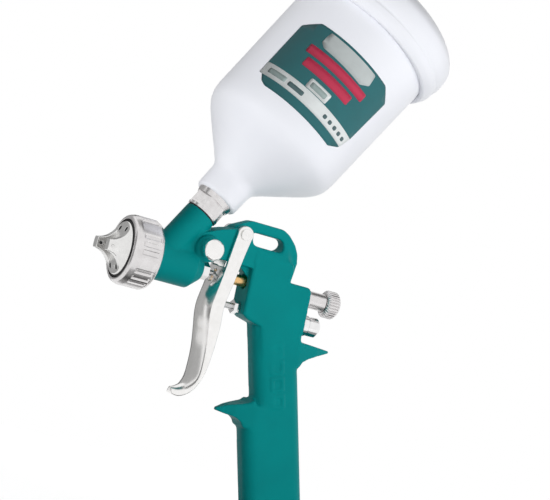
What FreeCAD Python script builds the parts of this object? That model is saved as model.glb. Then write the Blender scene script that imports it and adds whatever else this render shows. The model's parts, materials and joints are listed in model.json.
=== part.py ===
import FreeCAD, Part
import math
import os
import Sketcher
from FreeCAD import Vector

# Gravity-feed HVLP spray gun. Millimetres. The barrel is level, the spray leaves
# along -X, the gun's left side is -Y and +Z is up. The origin is the centre of the
# air inlet's end face, under the swept handle. Sketches are drawn from the point
# where the needle axis passes the trigger, and every part is placed from there.

SIZES = {
    # needle axis and handle
    "sweep": 18.4,
    "grip_start": 15.9,
    "grip_end": 155,
    "grip_width": 19.2,
    "grip_back": 15,
    "grip_front": 14.3,
    "butt_front": 23.2,
    "butt_start": 73,
    "grip_round": 7.5,
    "inlet_hex": 9,
    "inlet_thread": 13,
    "inlet_radius": 6.58,
    "inlet_bore": 4,
    # head
    "barrel_radius": 12.8,
    "barrel_back": 40,
    "head_back": 68,
    "head_front": 78,
    "head_radius": 18.4,
    "ring_radius": 21,
    "ring_front": 85,
    "ring_lip": 17.7,
    "cap_rim": 17.3,
    "cap_face": 87,
    "horn_tip": 97.5,
    "horn_radius": 12.6,
    "horn_width": 6.6,
    "horn_gap": 13,
    "fit": 0.05,
    # fluid path
    "needle_radius": 1.5,
    "nozzle_shank": 5,
    "nozzle_tip": 89,
    "packing_bore": 4,
    "packing_front": 42,
    "packing_back": 28,
    # cup
    "cup_lean": 30,
    "cup_cross": 59.6,
    "neck_top": 36.4,
    "neck_radius": 9.9,
    "adapter_top": 49.5,
    "adapter_bore": 3.4,
    "cup_neck_radius": 14,
    "cup_neck_top": 65,
    "cone_top": 94,
    "cup_radius": 46.4,
    "cup_mouth": 198,
    "cup_wall": 1.8,
    "lid_flare": 7,
    "lid_skirt": 15.5,
    "lid_rise": 20.6,
    "lid_play": 0.4,
    # block, hook and bridge
    "block_front": 3,
    "block_back": 39.6,
    "block_half": 9.6,
    "block_top": 19,
    "step_top": 6.6,
    "block_low": 27,
    "bridge_half": 8.9,
    "bridge_low": 9,
    "hook_half": 4.5,
    "hook_top": 36.4,
    "slot_front": 3.8,
    "slot_back": 15.4,
    "slot_mid": 26.1,
    "slot_half": 3.9,
    # trigger
    "pivot_x": 14.5,
    "pivot_z": 26.9,
    "trigger_play": 0.3,
    "trigger_wall": 2.6,
    "pin_radius": 2.2,
    # valve line
    "valve_z": 16,
    "stem_radius": 2,
    "valve_bore": 5,
    "cap_nut_radius": 6.1,
    # needle line at the back
    "needle_bore": 5,
    "guide_radius": 5.4,
    "knob_radius": 8.6,
    # pattern control
    "fan_x": 35.6,
    "fan_z": 13,
    "fan_boss": 8,
    "fan_knob": 6.3,
}


class Size:
    """A length that knows both its value and the expression that gives it."""

    def __init__(self, value, text):
        self.value = value
        self.text = text

    def __add__(self, other):
        other = as_size(other)
        return Size(self.value + other.value, f"({self.text} + {other.text})")

    def __sub__(self, other):
        other = as_size(other)
        return Size(self.value - other.value, f"({self.text} - {other.text})")

    def __mul__(self, other):
        other = as_size(other)
        return Size(self.value * other.value, f"({self.text} * {other.text})")

    def __truediv__(self, other):
        other = as_size(other)
        return Size(self.value / other.value, f"({self.text} / {other.text})")

    def __neg__(self):
        return Size(-self.value, f"(0 - {self.text})")

    def __radd__(self, other):
        return as_size(other) + self

    def __rsub__(self, other):
        return as_size(other) - self

    def __rmul__(self, other):
        return as_size(other) * self

    def __rtruediv__(self, other):
        return as_size(other) / self


def as_size(number):
    if isinstance(number, Size):
        return number
    return Size(number, str(number) if number >= 0 else f"(0 - {-number})")


def sin_of(angle):
    return Size(math.sin(math.radians(angle.value)), f"sin({angle.text})")


def cos_of(angle):
    return Size(math.cos(math.radians(angle.value)), f"cos({angle.text})")


doc = FreeCAD.newDocument("HvlpSprayGun")
sheet = doc.addObject("Spreadsheet::Sheet", "Sizes")
for row, (name, value) in enumerate(SIZES.items(), start=1):
    sheet.set(f"A{row}", name)
    sheet.set(f"B{row}", str(value))
    sheet.setAlias(f"B{row}", name)
doc.recompute()


class Sheet:
    """Gives each spreadsheet cell as a Size."""

    def __getattr__(self, name):
        return Size(SIZES[name], f"Sizes.{name}")


S = Sheet()
cheek_in = S.bridge_half + S.trigger_play
cheek_out = cheek_in + S.trigger_wall
SUB_PARTS = []

grip_x = sin_of(S.sweep)
grip_z = -cos_of(S.sweep)
inlet_set = (S.butt_front - S.grip_back) / 2
INLET_X = S.grip_start - inlet_set * cos_of(S.sweep)
INLET_Z = -inlet_set * sin_of(S.sweep)
inlet_end = S.grip_end + S.inlet_hex + S.inlet_thread
DATUM_X = -(INLET_X + inlet_end * grip_x)
DATUM_Z = -(INLET_Z + inlet_end * grip_z)


def bind(thing, name, value):
    """Sets a property and ties it to the spreadsheet."""
    value = as_size(value)
    thing.setExpression(name, value.text)


def place(thing, x=0, y=0, z=0, axis=Vector(0, 1, 0), angle=0):
    """Stands a finished part in the gun, turned about one axis by an angle."""
    angle = as_size(angle)
    turn = FreeCAD.Rotation(axis, angle.value)
    thing.Placement = FreeCAD.Placement(Vector(0, 0, 0), turn)
    if angle.value:
        bind(thing, "Placement.Rotation.Angle", angle)
    bind(thing, "Placement.Base.x", as_size(x))
    bind(thing, "Placement.Base.y", as_size(y))
    bind(thing, "Placement.Base.z", as_size(z))


def finish(thing, label, x=0, y=0, z=0, axis=Vector(0, 1, 0), angle=0):
    """Names a sub-part and places it from the origin at the air inlet."""
    thing.Label = label
    place(thing, DATUM_X + x, y, DATUM_Z + z, axis, angle)
    SUB_PARTS.append(thing)
    return thing


def origin_plane(body, role):
    return [part for part in body.Origin.OriginFeatures if part.Role == role][0]


def outline(body, points, role="XZ_Plane"):
    """A closed sketch through points, each coordinate held by its expression."""
    sketch = body.newObject("Sketcher::SketchObject", "Outline")
    sketch.AttachmentSupport = [(origin_plane(body, role), "")]
    sketch.MapMode = "FlatFace"
    points = [(as_size(x), as_size(y)) for x, y in points]
    count = len(points)
    for index, (x, y) in enumerate(points):
        after_x, after_y = points[(index + 1) % count]
        start = Vector(x.value, y.value, 0)
        end = Vector(after_x.value, after_y.value, 0)
        sketch.addGeometry(Part.LineSegment(start, end), False)
    for index in range(count):
        sketch.addConstraint(Sketcher.Constraint("Coincident", index, 2, (index + 1) % count, 1))
    for index, pair in enumerate(points):
        for kind, place_ in zip(("DistanceX", "DistanceY"), pair):
            rule = Sketcher.Constraint(kind, -1, 1, index, 1, place_.value)
            number = sketch.addConstraint(rule)
            sketch.setExpression(f"Constraints[{number}]", place_.text)
    sketch.Visibility = False
    return sketch


def new_body(name):
    return doc.addObject("PartDesign::Body", name)


def turned(name, points):
    """A solid of revolution about local X from points of (x, radius)."""
    body = new_body(name)
    sketch = outline(body, points)
    spin = body.newObject("PartDesign::Revolution", "Turning")
    spin.Profile = sketch
    spin.ReferenceAxis = (sketch, ["H_Axis"])
    spin.Angle = 360
    doc.recompute()
    return body


def plate(name, points, half):
    """A side-view outline made thick to both sides of the middle plane."""
    body = new_body(name)
    sketch = outline(body, points)
    pad = body.newObject("PartDesign::Pad", "Thickness")
    pad.Profile = sketch
    pad.SideType = "Symmetric"
    bind(pad, "Length", 2 * half)
    doc.recompute()
    return body


def rounded(body, radius, wanted):
    """Fillets the edges of a body's tip that wanted picks."""
    base = body.Tip
    names = [f"Edge{n}" for n, edge in enumerate(base.Shape.Edges, start=1) if wanted(edge)]
    fillet = body.newObject("PartDesign::Fillet", "Rounding")
    fillet.Base = (base, names)
    bind(fillet, "Radius", radius)
    doc.recompute()
    return body


def along_y(edge):
    """True for a straight edge that runs across the gun."""
    box = edge.BoundBox
    return box.YLength > 1 and box.XLength < 0.01 and box.ZLength < 0.01


def rod(name, radius, length, x=0, y=0, z=0, axis=Vector(0, 1, 0), angle=90):
    """A plain cylinder. The default turn lays it along +X."""
    thing = doc.addObject("Part::Cylinder", name)
    bind(thing, "Radius", radius)
    bind(thing, "Height", length)
    place(thing, x, y, z, axis, angle)
    return thing


def block(name, lengths, corner, axis=Vector(0, 1, 0), angle=0):
    thing = doc.addObject("Part::Box", name)
    for key, value in zip(("Length", "Width", "Height"), lengths):
        bind(thing, key, value)
    place(thing, *corner, axis, angle)
    return thing


def hexagon(name, apothem, length, start):
    """A hexagonal bar along local X, standing on a flat."""
    thing = doc.addObject("Part::Prism", name)
    thing.Polygon = 6
    bind(thing, "Circumradius", apothem / cos_of(Size(30, "30")))
    bind(thing, "Height", length)
    place(thing, start, 0, 0, Vector(0, 1, 0), 90)
    return thing


def fused(name, things):
    result = doc.addObject("Part::MultiFuse", name)
    result.Shapes = things
    doc.recompute()
    return result


def cut(name, base, tools):
    result = doc.addObject("Part::Cut", name)
    result.Base = base
    result.Tool = tools[0] if len(tools) == 1 else fused(name + "Tools", tools)
    doc.recompute()
    return result


def spring(label, radius, wire, length, turns, x, y, z, axis=Vector(0, 1, 0), angle=90):
    """A round-wire coil spring along +X by default."""
    body = new_body(label)
    sketch = body.newObject("Sketcher::SketchObject", "Wire")
    sketch.AttachmentSupport = [(origin_plane(body, "XZ_Plane"), "")]
    sketch.MapMode = "FlatFace"
    radius, wire = as_size(radius), as_size(wire)
    sketch.addGeometry(Part.Circle(Vector(radius.value, 0, 0), Vector(0, 0, 1), wire.value), False)
    for rule, value in (
        (Sketcher.Constraint("DistanceX", -1, 1, 0, 3, radius.value), radius),
        (Sketcher.Constraint("DistanceY", -1, 1, 0, 3, 0), as_size(0)),
        (Sketcher.Constraint("Radius", 0, wire.value), wire),
    ):
        number = sketch.addConstraint(rule)
        sketch.setExpression(f"Constraints[{number}]", value.text)
    coil = body.newObject("PartDesign::AdditiveHelix", "Coil")
    coil.Profile = sketch
    coil.ReferenceAxis = (sketch, ["V_Axis"])
    coil.Mode = "height-turns-angle"
    bind(coil, "Height", length)
    coil.Turns = turns
    doc.recompute()
    return finish(body, label, x, y, z, axis, angle)


# Gun body: barrel, cup neck, bridge, hook plate, block, swept handle and fins.
FRONT_Y = Vector(1, 0, 0)
cup_angle = -(90 - S.cup_lean)

barrel = turned("Barrel", [
    (-S.head_front, 0),
    (-S.head_front, S.head_radius),
    (-S.head_back, S.head_radius),
    (-S.head_back, S.barrel_radius),
    (-S.barrel_back, S.barrel_radius),
    (-S.barrel_back + 7.5, 6.4),
    (-S.barrel_back + 7.5, 0),
])
neck = turned("CupNeck", [
    (0, 0),
    (0, S.neck_radius),
    (S.neck_top, S.neck_radius),
    (S.neck_top, 0),
])
place(neck, -S.cup_cross, 0, 0, Vector(0, 1, 0), cup_angle)
bridge = plate("Bridge", [
    (-S.block_front - 1, S.bridge_low),
    (-S.barrel_back + 8, S.bridge_low),
    (-S.barrel_back - 8, 0),
    (-S.barrel_back - 12, 16),
    (-S.pivot_x - 17, S.pivot_z - 1.6),
    (-S.pivot_x - 9.6, S.pivot_z + 0.9),
    (-S.pivot_x + 2, S.pivot_z + 4),
    (-S.block_front + 6, S.block_top),
    (-S.block_front + 6, S.bridge_low),
], S.bridge_half)
rounded(bridge, 3, lambda edge: along_y(edge) and edge.BoundBox.XMin > -34 and edge.BoundBox.ZMin > 20)
boss = rod("PivotBoss", 5.2, 2 * S.bridge_half, -S.pivot_x, S.bridge_half, S.pivot_z, FRONT_Y, 90)
hook = plate("HookPlate", [
    (-S.pivot_x - 5, S.pivot_z - 12),
    (-S.pivot_x - 5, S.pivot_z + 4.2),
    (-S.pivot_x + 5.6, S.hook_top),
    (13, S.hook_top),
    (18.2, S.hook_top - 2.6),
    (23.3, S.hook_top - 7.5),
    (26.2, S.hook_top - 12.2),
    (27.3, S.hook_top - 17.4),
    (26.6, S.step_top + 6),
    (25, S.step_top - 6),
    (-S.block_front + 4, S.step_top - 6),
], S.hook_half)
rounded(hook, 4, lambda edge: along_y(edge) and edge.BoundBox.ZMin > 20 and edge.BoundBox.XMin > -18)
housing = plate("Housing", [
    (-S.block_front, S.block_top - 1),
    (-S.block_front, 6),
    (-S.block_front + 1.6, -S.block_low + 8),
    (2.6, -S.block_low + 5.6),
    (12.4, -S.block_low + 3.2),
    (19, -S.block_low - 14),
    (43, -S.block_low - 14),
    (S.block_back + 1.6, -S.block_low),
    (S.block_back - 0.6, S.step_top - 1.5),
    (S.block_back - 2.4, S.step_top),
    (24, S.step_top),
    (24.6, S.step_top + 6),
    (23.4, S.block_top - 2),
    (20, S.block_top),
    (-S.block_front + 2, S.block_top),
], S.block_half)
rounded(
    housing,
    1.8,
    lambda edge: abs(abs(edge.BoundBox.YMin) - S.block_half.value) < 0.01
    and edge.BoundBox.YLength < 0.01
    and edge.BoundBox.ZMin > -24,
)


def grip_bar(name, start, end, front):
    """A length of the handle: a rounded bar along the swept axis."""
    body = new_body(name)
    sketch = outline(body, [
        (-front, -S.grip_width / 2),
        (S.grip_back, -S.grip_width / 2),
        (S.grip_back, S.grip_width / 2),
        (-front, S.grip_width / 2),
    ], "XY_Plane")
    pad = body.newObject("PartDesign::Pad", "Length")
    pad.Profile = sketch
    pad.Reversed = True
    bind(pad, "Length", end - start)
    doc.recompute()
    rounded(body, S.grip_round, lambda edge: edge.BoundBox.ZLength > 5)
    place(body, S.grip_start + start * grip_x, 0, start * grip_z, Vector(0, 1, 0), -S.sweep)
    return body


grip = grip_bar("Grip", S.butt_start - 53, S.butt_start + 5, S.grip_front)
butt = grip_bar("Butt", S.butt_start + 3, S.grip_end, S.butt_front)


def pointed(name, side, inner, root, tip):
    """Narrows a fin, seen from above, from the handle's width at its root to its tip."""
    body = new_body(name + "Plan")
    half = S.grip_width / 2
    middle = root + (tip - root) * 0.55
    sketch = outline(body, [
        (root, -half),
        (inner, -half),
        (inner, half),
        (root, half),
        (middle, half * 0.62),
        (tip, 1.4),
        (tip, -1.4),
        (middle, -half * 0.62),
    ], "XY_Plane")
    pad = body.newObject("PartDesign::Pad", "Height")
    pad.Profile = sketch
    pad.SideType = "Symmetric"
    pad.Length = 300
    doc.recompute()
    result = doc.addObject("Part::Common", name)
    result.Base = side
    result.Tool = body
    doc.recompute()
    return result


fin_inner = as_size(36)
front_side = plate("FrontFinSide", [
    (fin_inner, -69.4),
    (23.6, -69.4),
    (22.4, -66.8),
    (21.4, -66.6),
    (19.2, -69.2),
    (15.2, -70.8),
    (6.8, -73.8),
    (0.8, -76.9),
    (0.8, -78.5),
    (6, -79.2),
    (13.2, -79.8),
    (16.6, -81.6),
    (18.8, -85),
    (fin_inner, -84),
], S.grip_width / 2)
rear_side = plate("RearFinSide", [
    (33, -25),
    (40.7, -26.2),
    (65.4, -27.6),
    (65.4, -29),
    (56, -32.6),
    (50, -35.4),
    (46.6, -38),
    (45.2, -42),
    (44, -42),
    (33, -40),
], S.grip_width / 2)
front_fin = pointed("FrontFin", front_side, fin_inner, as_size(24.5), as_size(0.7))
rear_fin = pointed("RearFin", rear_side, as_size(33), as_size(41.5), as_size(65.6))
fan_boss = turned("FanBoss", [
    (0, 0),
    (0, S.fan_boss + 1),
    (11.4, S.fan_boss),
    (13, S.fan_boss - 1.4),
    (13, 0),
])
place(fan_boss, -S.fan_x, 0, S.fan_z, Vector(0, 0, 1), -90)
solid = fused("Casting", [barrel, neck, bridge, boss, hook, housing, grip, butt, front_fin, rear_fin,
                          fan_boss])

slot = plate("Slot", [
    (-S.slot_front, S.slot_mid - S.slot_half),
    (S.slot_back - S.slot_half, S.slot_mid - S.slot_half),
    (S.slot_back - S.slot_half, S.slot_mid + S.slot_half),
    (-S.slot_front, S.slot_mid + S.slot_half),
], 20)
slot_ends = [
    rod("SlotFrontEnd", S.slot_half, 40, -S.slot_front, 20, S.slot_mid, FRONT_Y, 90),
    rod("SlotBackEnd", S.slot_half, 40, S.slot_back - S.slot_half, 20, S.slot_mid, FRONT_Y, 90),
]
pin_hole = rod("PinHole", S.pin_radius, 30, -S.pivot_x, 15, S.pivot_z, FRONT_Y, 90)
fluid_way = turned("FluidWay", [
    (-S.head_front - 1, 0),
    (-S.head_front - 1, S.nozzle_shank),
    (-S.head_front + 12, S.nozzle_shank),
    (-S.head_front + 12, 3),
    (-S.packing_front, 3),
    (-S.packing_front, S.packing_bore),
    (-S.packing_back - 4.4, S.packing_bore),
    (-S.packing_back - 4.4, 6),
    (-20, 6),
    (-20, 0),
])
air_groove = turned("AirGroove", [
    (-S.head_front - 1, 10),
    (-S.head_front - 1, 15),
    (-S.head_front + 6, 15),
    (-S.head_front + 6, 10),
])
cup_way = rod("CupWay", 3, S.neck_top + 1, -S.cup_cross, 0, 0, Vector(0, 1, 0), S.cup_lean)
cup_socket = turned("CupSocket", [
    (S.neck_top - 11, 0),
    (S.neck_top - 11, 6.4),
    (S.neck_top + 1, 6.4),
    (S.neck_top + 1, 0),
])
place(cup_socket, -S.cup_cross, 0, 0, Vector(0, 1, 0), cup_angle)
needle_way = turned("NeedleWay", [
    (-S.block_front - 1, 0),
    (-S.block_front - 1, 4.2),
    (8, 4.2),
    (8, S.needle_bore),
    (S.block_back + 3, S.needle_bore),
    (S.block_back + 3, 0),
])
valve_way = turned("ValveWay", [
    (-S.block_front - 1, 0),
    (-S.block_front - 1, 2.9),
    (14, 2.9),
    (14, S.valve_bore),
    (S.block_back + 8, S.valve_bore),
    (S.block_back + 8, 0),
])
place(valve_way, 0, 0, -S.valve_z)
air_way = rod("AirWay", S.inlet_bore, S.grip_end - 14, INLET_X + S.grip_end * grip_x, 0,
              INLET_Z + S.grip_end * grip_z, Vector(0, 1, 0), -S.sweep)
inlet_socket = rod("InletSocket", 6, 12, INLET_X + S.grip_end * grip_x, 0,
                   INLET_Z + S.grip_end * grip_z, Vector(0, 1, 0), -S.sweep)
fan_way = rod("FanWay", 3.4, 13, -S.fan_x, -3, S.fan_z, FRONT_Y, 90)
gun_body = cut("GunBody", solid, [slot, *slot_ends, pin_hole, fluid_way, air_groove, cup_way, cup_socket,
                                  needle_way, valve_way, air_way, inlet_socket, fan_way])
finish(gun_body, "gun_body")

# Air cap ring: a fluted nut over the head, with a lip that holds the cap.
flutes = 24
ring_turning = turned("RingTurning", [
    (-S.ring_front, S.ring_lip),
    (-S.ring_front, S.ring_radius - 2.2),
    (-S.ring_front + 1.4, S.ring_radius - 0.7),
    (-S.ring_front + 4, S.ring_radius),
    (-S.head_back, S.ring_radius),
    (-S.head_back + 2, S.ring_radius - 1.2),
    (-S.head_back + 2, S.barrel_radius + 0.6),
    (-S.head_back + S.fit, S.barrel_radius + 0.6),
    (-S.head_back + S.fit, S.head_radius + S.fit),
    (-S.ring_front + 2, S.head_radius + S.fit),
    (-S.ring_front + 2, S.ring_lip),
])
flute_tools = []
for step in (0, 1, 2, 3):
    for group in range(6):
        turn = 60 * group + 9 * step
        angle = math.radians(turn)
        tool = doc.addObject("Part::Cylinder", f"Flute{group}{step}")
        bind(tool, "Radius", 1)
        bind(tool, "Height", 10.4)
        spot = S.ring_radius + 0.5
        tool.Placement = FreeCAD.Placement(Vector(0, 0, 0), FreeCAD.Rotation(Vector(0, 1, 0), 90))
        bind(tool, "Placement.Base.x", -S.head_back - 12.6)
        bind(tool, "Placement.Base.y", spot * round(math.sin(angle), 6))
        bind(tool, "Placement.Base.z", spot * round(math.cos(angle), 6))
        flute_tools.append(tool)
finish(cut("AirCapRing", ring_turning, flute_tools), "air_cap_ring")

# Air cap: a trumpet-shaped cap with two horns, one to each side.
trumpet = turned("Trumpet", [
    (-S.ring_front + 4.6, 12.4),
    (-S.ring_front + 4.6, S.head_radius - S.fit),
    (-S.ring_front + 2.1, S.head_radius - S.fit),
    (-S.ring_front + 2.1, S.cap_rim),
    (-S.ring_front + 0.6, S.cap_rim - 0.5),
    (-S.cap_face - 0.6, S.horn_radius + 1.6),
    (-S.cap_face - 4, S.horn_radius + 0.2),
    (-S.horn_tip, S.horn_radius - 0.6),
    (-S.horn_tip, 2.1),
    (-S.cap_face + 1.6, 2.1),
    (-S.cap_face + 3.4, 9),
    (-S.cap_face + 4, 12.4),
])
hollow_radius = 12
scallops = [
    rod(f"Scallop{side}", hollow_radius, 40, -S.horn_tip - 0.5, 20,
        way * (S.horn_width / 2 + hollow_radius), FRONT_Y, 90)
    for side, way in (("Top", 1), ("Low", -1))
]
gap = block("HornGap", (S.horn_tip - S.cap_face + 1, S.horn_gap, 60),
            (-S.horn_tip - 1, -S.horn_gap / 2, -30))
jets = [
    rod("HornJets", 0.9, 40, -S.horn_tip + 2.6, 20, 0, FRONT_Y, 90),
    *[rod(f"FaceJet{side}", 0.7, 6, -S.cap_face - 3, 0, way * 5) for side, way in (("Top", 1), ("Low", -1))],
]
finish(cut("AirCap", trumpet, [*scallops, gap, *jets]), "air_cap")

# Fluid nozzle, its washer, the air baffle and the fluid needle.
nozzle = turned("Nozzle", [
    (-S.head_front + 11.6, 2.4),
    (-S.head_front + 11.6, S.nozzle_shank - 0.02),
    (-S.head_front - 0.6, S.nozzle_shank - 0.02),
    (-S.head_front - 0.6, 8),
    (-S.head_front - 3.6, 8),
    (-S.head_front - 4.2, 6),
    (-S.nozzle_tip + 4.4, 1.75),
    (-S.nozzle_tip, 1.5),
    (-S.nozzle_tip, 0.7),
    (-S.nozzle_tip + 3.6, 0.7),
    (-S.nozzle_tip + 7.4, 2.4),
])
finish(nozzle, "fluid_nozzle")
finish(turned("NozzleWasher", [
    (-S.head_front - 0.6, S.nozzle_shank + 0.05),
    (-S.head_front - 0.6, 7.8),
    (-S.head_front, 7.8),
    (-S.head_front, S.nozzle_shank + 0.05),
]), "nozzle_washer")
baffle = turned("Baffle", [
    (-S.head_front - 1.6, 8.3),
    (-S.head_front - 1.6, 16.6),
    (-S.head_front, 16.6),
    (-S.head_front, 8.3),
])
baffle_holes = []
for number in range(8):
    angle = math.radians(45 * number)
    hole = rod(f"BaffleHole{number}", 1.2, 6, -S.head_front - 4, 12.6 * round(math.sin(angle), 6),
               12.6 * round(math.cos(angle), 6))
    baffle_holes.append(hole)
finish(cut("AirBaffle", baffle, baffle_holes), "air_baffle")
finish(turned("Needle", [
    (-S.nozzle_tip + 0.9, 0),
    (-S.nozzle_tip + 0.9, 0.3),
    (-S.nozzle_tip + 3.1, 0.45),
    (-S.nozzle_tip + 7.7, S.needle_radius),
    (20, S.needle_radius),
    (20, 0),
]), "fluid_needle")
finish(turned("NeedleSleeve", [
    (-S.pivot_x - 3.4, S.needle_radius),
    (-S.pivot_x - 3.4, 3.2),
    (-S.block_front + 1.4, 3.5),
    (11, 3.5),
    (11, 4.4),
    (12.4, 4.4),
    (12.4, S.needle_radius),
]), "needle_sleeve")
packing_hex = hexagon("PackingHex", 4.7, 4.4, -S.packing_back - 4.4)
packing_shank = rod("PackingShank", S.packing_bore - 0.02, S.packing_front - S.packing_back - 8,
                    -S.packing_front + 4)
needle_hole = rod("NeedleHole", S.needle_radius + S.fit, 40, -S.packing_front - 10)
finish(cut("PackingNut", fused("PackingNutSolid", [packing_hex, packing_shank]), [needle_hole]),
       "packing_nut")
finish(turned("PackingSeal", [
    (-S.packing_front + 0.6, S.needle_radius + S.fit),
    (-S.packing_front + 0.6, S.packing_bore - 0.1),
    (-S.packing_front + 4, S.packing_bore - 0.1),
    (-S.packing_front + 4, S.needle_radius + S.fit),
]), "packing_seal")

# Needle spring and fluid knob behind the block.
spring_start = 13
spring_length = S.block_back - 5.6 - spring_start
spring("needle_spring", 3.6, 0.45, spring_length - 1.6, 8, spring_start + 0.3, 0, 0)
knob_line = S.block_back + 13
guide_hex = hexagon("GuideHex", S.guide_radius, 2.2, S.block_back + 0.4)
guide_tube = rod("GuideTube", S.guide_radius, 13, S.block_back + 0.4)
guide_shank = rod("GuideShank", S.needle_bore - 0.02, 6, S.block_back - 5.6)
guide_bore = rod("GuideBore", 2.6, 40, S.block_back - 12)
finish(cut("KnobGuide", fused("KnobGuideSolid", [guide_hex, guide_tube, guide_shank]), [guide_bore]),
       "knob_guide")
knob_blank = turned("KnobBlank", [
    (knob_line + 0.7, 0),
    (knob_line + 0.7, S.knob_radius - 2.2),
    (knob_line + 2.4, S.knob_radius),
    (knob_line + 8.2, S.knob_radius),
    (knob_line + 9.8, S.knob_radius - 1.6),
    (knob_line + 10.6, S.knob_radius - 4),
    (knob_line + 10.9, 0),
])
knob_screw = rod("KnobScrew", 2.6 - S.fit, 24, knob_line - 15)
grips = []
knob_ribs = 28
for number in range(knob_ribs):
    angle = 2 * math.pi * number / knob_ribs
    groove = rod(f"KnobGroove{number}", 0.6, 20, knob_line - 2,
                 (S.knob_radius + 0.25) * round(math.sin(angle), 6),
                 (S.knob_radius + 0.25) * round(math.cos(angle), 6))
    grips.append(groove)
finish(cut("FluidKnob", fused("FluidKnobSolid", [knob_blank, knob_screw]), grips), "fluid_knob")

# Air valve: stem, front nut and seal, disc, spring and rear cap nut.
stem_front = -S.pivot_x - 4.4
finish(turned("ValveStem", [
    (stem_front, 0),
    (stem_front, S.stem_radius - 0.5),
    (stem_front + 0.5, S.stem_radius),
    (15, S.stem_radius),
    (15, 4.6),
    (17.4, 4.6),
    (17.4, S.stem_radius),
    (24, S.stem_radius),
    (24, 0),
]), "air_valve_stem", 0, 0, -S.valve_z)
finish(turned("ValveSeat", [
    (12.2, S.stem_radius + S.fit),
    (12.2, 2.85),
    (14, 2.85),
    (14, 4.6),
    (14.9, 4.6),
    (14.9, S.stem_radius + S.fit),
]), "air_valve_seat", 0, 0, -S.valve_z)
nut_hex = hexagon("ValveNutHex", 3.9, 2.6, -S.block_front - 2.8)
nut_shank = rod("ValveNutShank", 2.88, 8, -S.block_front - 1)
nut_bore = rod("ValveNutBore", S.stem_radius + S.fit, 30, -S.block_front - 12)
finish(cut("ValveNut", fused("ValveNutSolid", [nut_hex, nut_shank]), [nut_bore]), "air_valve_nut",
       0, 0, -S.valve_z)
spring("air_valve_spring", 3.4, 0.5, 21, 7, 18, 0, -S.valve_z)
finish(turned("ValveCap", [
    (S.block_back - 3, 4.2),
    (S.block_back - 3, S.valve_bore - 0.02),
    (S.block_back + 1.8, S.valve_bore - 0.02),
    (S.block_back + 1.8, S.cap_nut_radius + 0.5),
    (S.block_back + 5.4, S.cap_nut_radius + 0.5),
    (S.block_back + 5.4, S.cap_nut_radius - 0.4),
    (S.block_back + 6.2, S.cap_nut_radius - 0.4),
    (S.block_back + 6.2, S.cap_nut_radius),
    (S.block_back + 12.4, S.cap_nut_radius),
    (S.block_back + 14, S.cap_nut_radius - 1.4),
    (S.block_back + 14.4, S.cap_nut_radius - 3),
    (S.block_back + 14.4, 0),
    (S.block_back + 12, 0),
    (S.block_back + 12, 4.2),
]), "air_valve_cap", 0, 0, -S.valve_z)

# Trigger: two cheeks joined by a curved finger face, with a window for the needle.
front_edge = [
    (-S.pivot_x - 5, S.pivot_z),
    (-S.pivot_x - 7.3, S.pivot_z - 21),
    (-S.pivot_x - 10, S.pivot_z - 36),
    (-S.pivot_x - 11.2, S.pivot_z - 45),
    (-S.pivot_x - 10.8, S.pivot_z - 52),
    (-S.pivot_x - 9, S.pivot_z - 61),
    (-S.pivot_x - 7, S.pivot_z - 72),
    (-S.pivot_x - 6.2, S.pivot_z - 83),
    (-S.pivot_x - 6.9, S.pivot_z - 90),
    (-S.pivot_x - 10, S.pivot_z - 95.8),
    (-S.pivot_x - 14, S.pivot_z - 98.8),
    (-S.pivot_x - 17, S.pivot_z - 99.8),
]
rear_edge = [
    (-S.pivot_x - 16.6, S.pivot_z - 102),
    (-S.pivot_x - 12.6, S.pivot_z - 102.5),
    (-S.pivot_x - 7.8, S.pivot_z - 99.4),
    (-S.pivot_x - 4.2, S.pivot_z - 93),
    (-S.pivot_x - 1.9, S.pivot_z - 84),
    (-S.pivot_x - 0.8, S.pivot_z - 72),
    (-S.pivot_x - 0.5, S.pivot_z - 57),
    (-S.pivot_x - 1.4, S.pivot_z - 44),
    (-S.pivot_x + 0.8, S.pivot_z - 28.5),
    (-S.pivot_x + 3, S.pivot_z - 12),
    (-S.pivot_x + 5, S.pivot_z),
]
trigger_side = plate("TriggerSide", [*front_edge, *rear_edge], cheek_out)
rounded(
    trigger_side,
    2.6,
    lambda edge: abs(abs(edge.BoundBox.YMin) - cheek_out.value) < 0.01
    and edge.BoundBox.YLength < 0.01
    and edge.BoundBox.ZMax < -17
    and edge.BoundBox.XMax < -19.5
    and edge.BoundBox.ZMin > -65,
)
wall = 2.4
channel_front = [(x + wall, z) for x, z in front_edge[:8]]
channel = plate("TriggerChannel", [
    (-S.pivot_x - 30, S.pivot_z + 20),
    (-S.pivot_x - 30, S.pivot_z - 18.5),
    (-S.pivot_x - 4.6, S.pivot_z - 18.5),
    *channel_front[2:],
    (-S.pivot_x + 12, S.pivot_z - 81),
    (-S.pivot_x + 12, S.pivot_z + 20),
], cheek_in)
window = plate("TriggerWindow", [
    (-S.pivot_x - 30, S.pivot_z - 23.6),
    (-S.pivot_x - 30, S.pivot_z - 38.6),
    (-S.pivot_x + 6, S.pivot_z - 38.6),
    (-S.pivot_x + 6, S.pivot_z - 23.6),
], 2.4)
trigger_front = new_body("TriggerFront")
front_outline = outline(trigger_front, [
    (-cheek_out, S.pivot_z + 10),
    (cheek_out, S.pivot_z + 10),
    (cheek_out, S.pivot_z - 80),
    (cheek_out - 1, S.pivot_z - 91),
    (cheek_out - 3.4, S.pivot_z - 98),
    (cheek_out - 7.6, S.pivot_z - 102.8),
    (-cheek_out + 7.6, S.pivot_z - 102.8),
    (-cheek_out + 3.4, S.pivot_z - 98),
    (-cheek_out + 1, S.pivot_z - 91),
    (-cheek_out, S.pivot_z - 80),
], "YZ_Plane")
front_pad = trigger_front.newObject("PartDesign::Pad", "Depth")
front_pad.Profile = front_outline
front_pad.SideType = "Symmetric"
front_pad.Length = 200
doc.recompute()
trigger_blank = doc.addObject("Part::Common", "TriggerBlank")
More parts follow.
